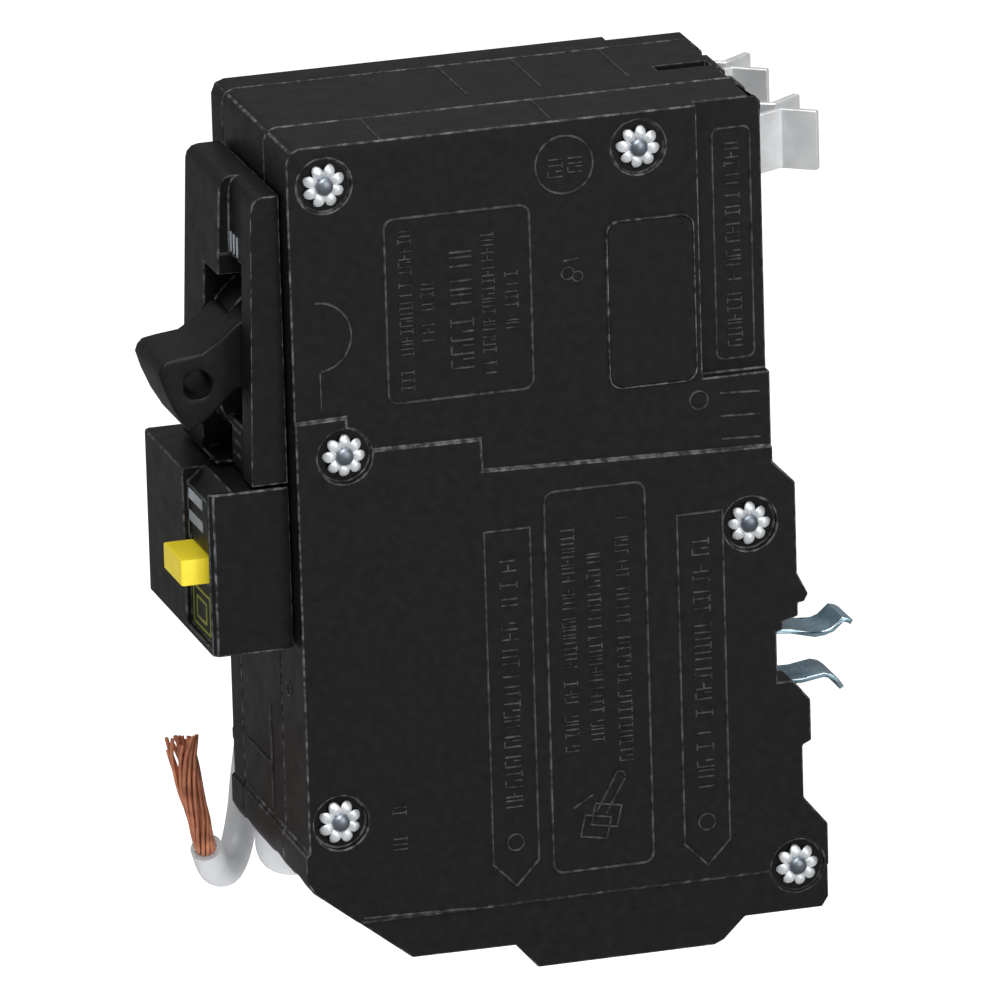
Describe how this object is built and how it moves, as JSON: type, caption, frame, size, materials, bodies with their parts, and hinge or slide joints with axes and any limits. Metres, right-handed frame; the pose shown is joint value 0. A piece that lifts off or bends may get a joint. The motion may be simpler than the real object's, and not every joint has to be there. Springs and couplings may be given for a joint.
{
  "type": "plug-on ground-fault circuit breaker",
  "caption": "Two-pole plug-on ground-fault breaker with a single handle, a yellow test button, plug-on jaws, rail clips, terminal lugs and a coiled white pigtail.",
  "frame": {"origin": "on the flat back face that seats on the panel, at the middle of the width, 25 mm below the line-end face", "axes": "+Z to the line end with the jaws, -Y out of the front with the handle and the test button, +X out of the marked side"},
  "size_m": [0.0581, 0.0831, 0.107],
  "materials": {
    "case_plastic": "moulded black thermoset, fine satin grain with brighter worn edges",
    "button_yellow": "moulded yellow, satin",
    "rivet_steel": "zinc-plated, flared and split into petals",
    "jaw_tin": "tin-plated copper, satin",
    "clip_steel": "blued spring steel",
    "copper": "bare copper",
    "contact_silver": "silver alloy contact",
    "spring_steel": "spring and stamped steel",
    "bimetal_strip": "bimetal strip",
    "lug_metal": "plated lug, dull",
    "screw_steel": "zinc-plated screw",
    "trip_plastic": "red moulded bar",
    "board_green": "solder mask",
    "component_dark": "black component bodies",
    "winding_enamel": "enamelled copper winding",
    "lead_insulation": "white insulation, semi-gloss"
  },
  "bodies": {
    "case": {"near_side_cover": "case_plastic", "centre_frame": "case_plastic", "far_side_cover": "case_plastic", "rivet_1": "rivet_steel", "rivet_2": "rivet_steel", "rivet_3": "rivet_steel", "rivet_4": "rivet_steel", "rivet_5": "rivet_steel", "rivet_6": "rivet_steel", "line_jaw_near": "jaw_tin", "line_jaw_far": "jaw_tin", "fixed_contact_near": "contact_silver", "fixed_contact_far": "contact_silver", "arc_chute_near": "spring_steel", "arc_chute_far": "spring_steel", "bimetal_near": "bimetal_strip", "bimetal_far": "bimetal_strip", "magnet_yoke_near": "lug_metal", "magnet_yoke_far": "lug_metal", "rail_clip_near": "clip_steel", "rail_clip_far": "clip_steel", "load_near_lug": "lug_metal", "load_far_lug": "lug_metal", "neutral_lug": "lug_metal", "circuit_board": "board_green", "sensing_transformer": "winding_enamel", "trip_solenoid": "winding_enamel", "capacitor": "component_dark", "varistor": "component_dark", "control_chip": "component_dark", "test_button_spring": "spring_steel", "plunger_spring": "spring_steel", "pigtail_lead": "lead_insulation", "pigtail_bare_end": "copper"},
    "handle": {"handle": "case_plastic"},
    "test_button": {"test_button": "button_yellow"},
    "contact_arm_near": {"contact_arm_near": "copper", "contact_tip_near": "contact_silver", "toggle_spring_near": "spring_steel"},
    "contact_arm_far": {"contact_arm_far": "copper", "contact_tip_far": "contact_silver", "toggle_spring_far": "spring_steel"},
    "cradle_near": {"cradle_near": "spring_steel"},
    "cradle_far": {"cradle_far": "spring_steel"},
    "armature_near": {"armature_near": "lug_metal"},
    "armature_far": {"armature_far": "lug_metal"},
    "trip_bar": {"trip_bar": "trip_plastic"},
    "solenoid_plunger": {"solenoid_plunger": "screw_steel"},
    "load_near_screw": {"load_near_screw": "screw_steel"},
    "load_near_clamp": {"load_near_clamp_plate": "lug_metal"},
    "load_far_screw": {"load_far_screw": "screw_steel"},
    "load_far_clamp": {"load_far_clamp_plate": "lug_metal"},
    "neutral_screw": {"neutral_screw": "screw_steel"},
    "neutral_clamp": {"neutral_clamp_plate": "lug_metal"}
  },
  "joints": [
    {"name": "handle_swing", "type": "hinge", "parent": "case", "child": "handle", "pos_m": [0, -0.0528, -0.0046], "axis": [-1, 0, 0], "range_deg": [-18, 22]},
    {"name": "contact_arm_near_swing", "type": "hinge", "parent": "case", "child": "contact_arm_near", "pos_m": [0.0095, -0.046, 0.0053], "axis": [1, 0, 0], "range_deg": [-7, 8.5]},
    {"name": "contact_arm_far_swing", "type": "hinge", "parent": "case", "child": "contact_arm_far", "pos_m": [-0.0095, -0.046, 0.0053], "axis": [1, 0, 0], "range_deg": [-7, 8.5]},
    {"name": "cradle_near_trip", "type": "hinge", "parent": "case", "child": "cradle_near", "pos_m": [0.0053, -0.036, -0.014], "axis": [1, 0, 0], "range_deg": [0, 14], "stiffness_Nm_per_rad": 0.004, "springref_deg": -5.73},
    {"name": "cradle_far_trip", "type": "hinge", "parent": "case", "child": "cradle_far", "pos_m": [-0.0053, -0.036, -0.014], "axis": [1, 0, 0], "range_deg": [0, 14], "stiffness_Nm_per_rad": 0.004, "springref_deg": -5.73},
    {"name": "armature_near_pull", "type": "hinge", "parent": "case", "child": "armature_near", "pos_m": [0.0095, -0.0253, -0.045], "axis": [1, 0, 0], "range_deg": [0, 4], "stiffness_Nm_per_rad": 0.01, "springref_deg": -5.73},
    {"name": "armature_far_pull", "type": "hinge", "parent": "case", "child": "armature_far", "pos_m": [-0.0095, -0.0253, -0.045], "axis": [1, 0, 0], "range_deg": [0, 4], "stiffness_Nm_per_rad": 0.01, "springref_deg": -5.73},
    {"name": "trip_bar_turn", "type": "hinge", "parent": "case", "child": "trip_bar", "pos_m": [0, -0.0205, -0.03], "axis": [1, 0, 0], "range_deg": [-9, 0], "stiffness_Nm_per_rad": 0.004, "springref_deg": 5.73},
    {"name": "test_button_push", "type": "slide", "parent": "case", "child": "test_button", "axis": [0, 1, 0], "range_m": [0, 0.0015], "stiffness_N_per_m": 600, "springref_m": -0.0006, "deforming": ["test_button_spring"]},
    {"name": "solenoid_plunger_slide", "type": "slide", "parent": "case", "child": "solenoid_plunger", "axis": [0, 0, -1], "range_m": [0, 0.003], "stiffness_N_per_m": 120, "springref_m": -0.0012, "deforming": ["plunger_spring"]},
    {"name": "load_near_clamp_slide", "type": "slide", "parent": "case", "child": "load_near_clamp", "axis": [0, 1, 0], "range_m": [0, 0.0032]},
    {"name": "load_near_screw_turn", "type": "hinge", "parent": "case", "child": "load_near_screw", "pos_m": [0.013, -0.046, -0.068], "axis": [0, 1, 0], "range_deg": [-10, 1450]},
    {"name": "load_far_clamp_slide", "type": "slide", "parent": "case", "child": "load_far_clamp", "axis": [0, 1, 0], "range_m": [0, 0.0032]},
    {"name": "load_far_screw_turn", "type": "hinge", "parent": "case", "child": "load_far_screw", "pos_m": [-0.0088, -0.046, -0.068], "axis": [0, 1, 0], "range_deg": [-10, 1450]},
    {"name": "neutral_clamp_slide", "type": "slide", "parent": "case", "child": "neutral_clamp", "axis": [0, 1, 0], "range_m": [0, 0.0032]},
    {"name": "neutral_screw_turn", "type": "hinge", "parent": "case", "child": "neutral_screw", "pos_m": [0.0042, -0.027, -0.068], "axis": [0, 1, 0], "range_deg": [-10, 1450]}
  ],
  "couplings": [
    {"joint": "contact_arm_near_swing", "follows": "handle_swing", "ratio": 0.36},
    {"joint": "contact_arm_far_swing", "follows": "handle_swing", "ratio": 0.36},
    {"joint": "load_near_screw_turn", "follows": "load_near_clamp_slide", "rad_per_m": 7854},
    {"joint": "load_far_screw_turn", "follows": "load_far_clamp_slide", "rad_per_m": 7854},
    {"joint": "neutral_screw_turn", "follows": "neutral_clamp_slide", "rad_per_m": 7854}
  ]
}
